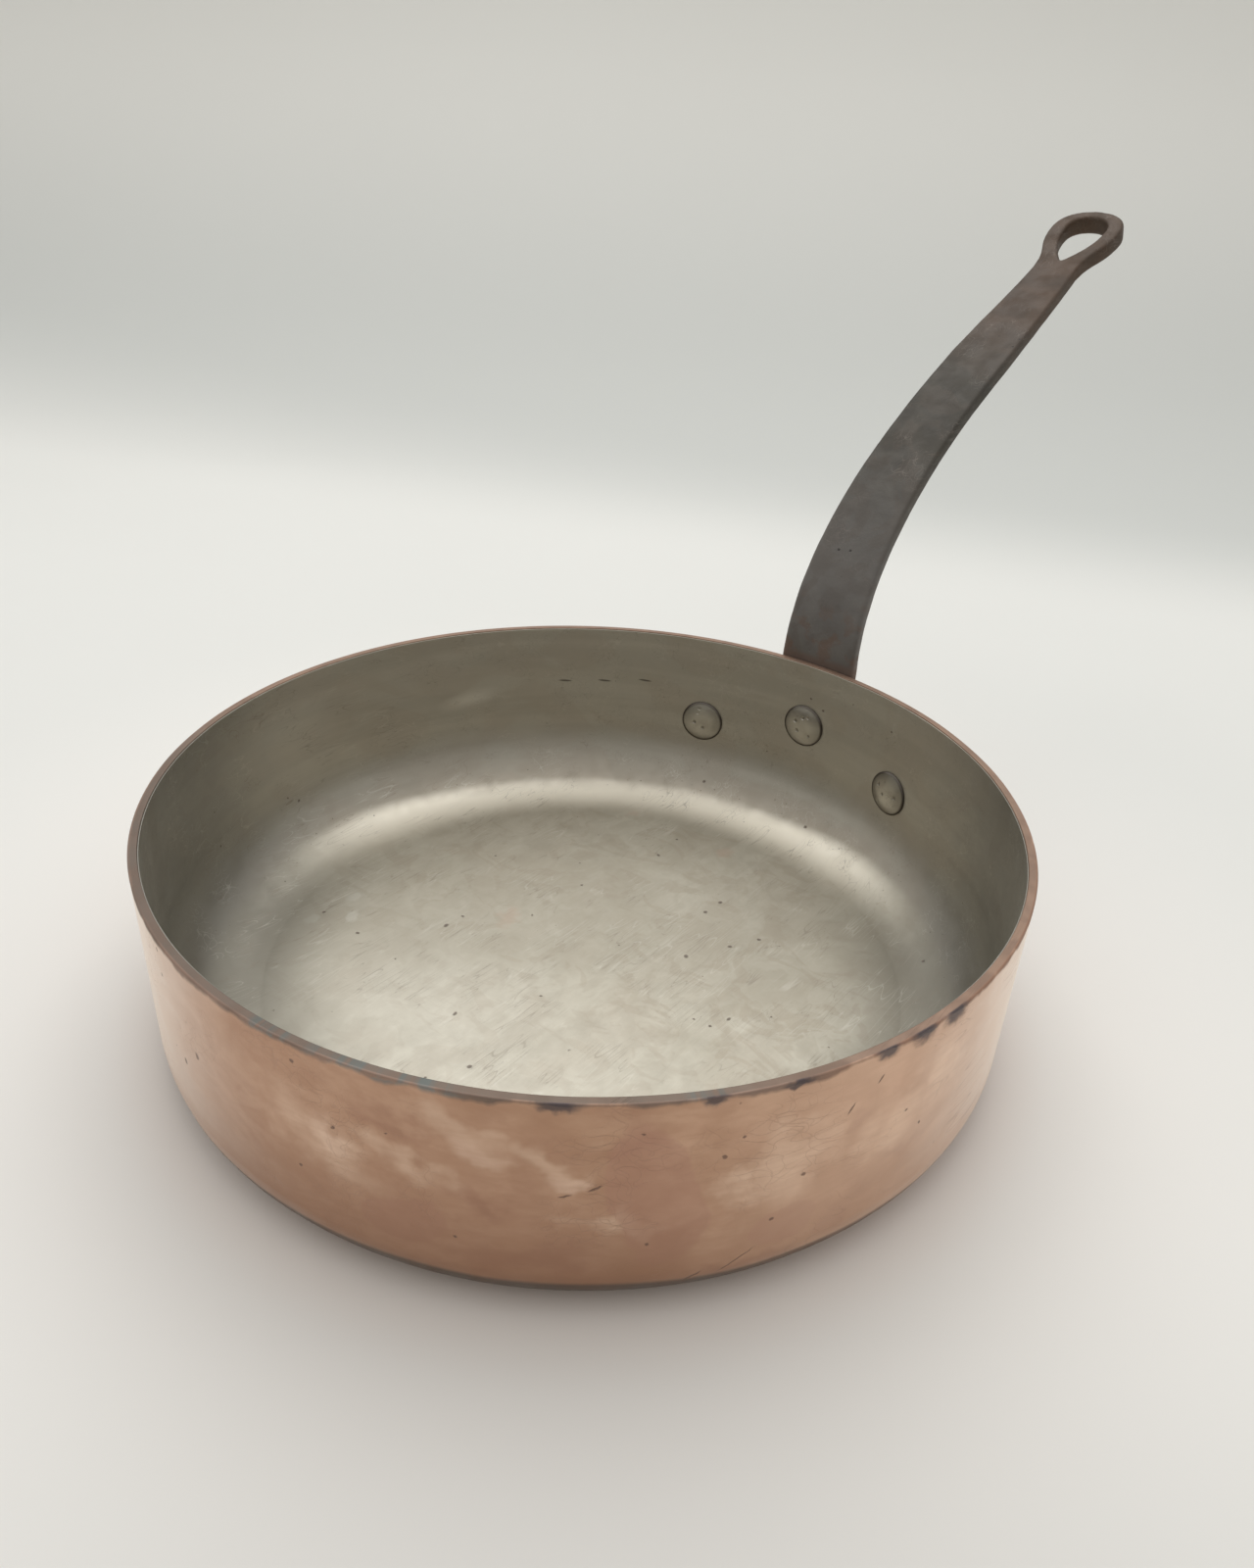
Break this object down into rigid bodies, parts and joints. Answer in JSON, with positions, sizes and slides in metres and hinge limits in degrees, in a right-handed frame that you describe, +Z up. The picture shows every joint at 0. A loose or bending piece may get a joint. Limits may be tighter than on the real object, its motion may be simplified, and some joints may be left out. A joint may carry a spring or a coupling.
{
  "type": "saute pan",
  "caption": "Straight-sided copper saute pan, tin lined, with a long curved iron handle riveted to the wall and ending in a hanging eye.",
  "frame": {"origin": "centre of the pan's flat underside", "axes": "+Z up, +X from the pan's middle out along the handle"},
  "size_m": [0.462, 0.26, 0.2183],
  "materials": {
    "copper": "polished by hand, softly clouded, with fine scratches and light tarnish under the rim",
    "tin": "wiped tin, satin, greyed by use",
    "iron": "bare cast iron, dark grey-brown, slightly pitted, with faint rust",
    "rivet_metal": "copper rivets tinned over with the lining, satin"
  },
  "bodies": {
    "root": {"copper_body": "copper", "tin_lining": "tin", "iron_handle": "iron", "rivet_left": "rivet_metal", "rivet_upper": "rivet_metal", "rivet_right": "rivet_metal"}
  },
  "joints": []
}
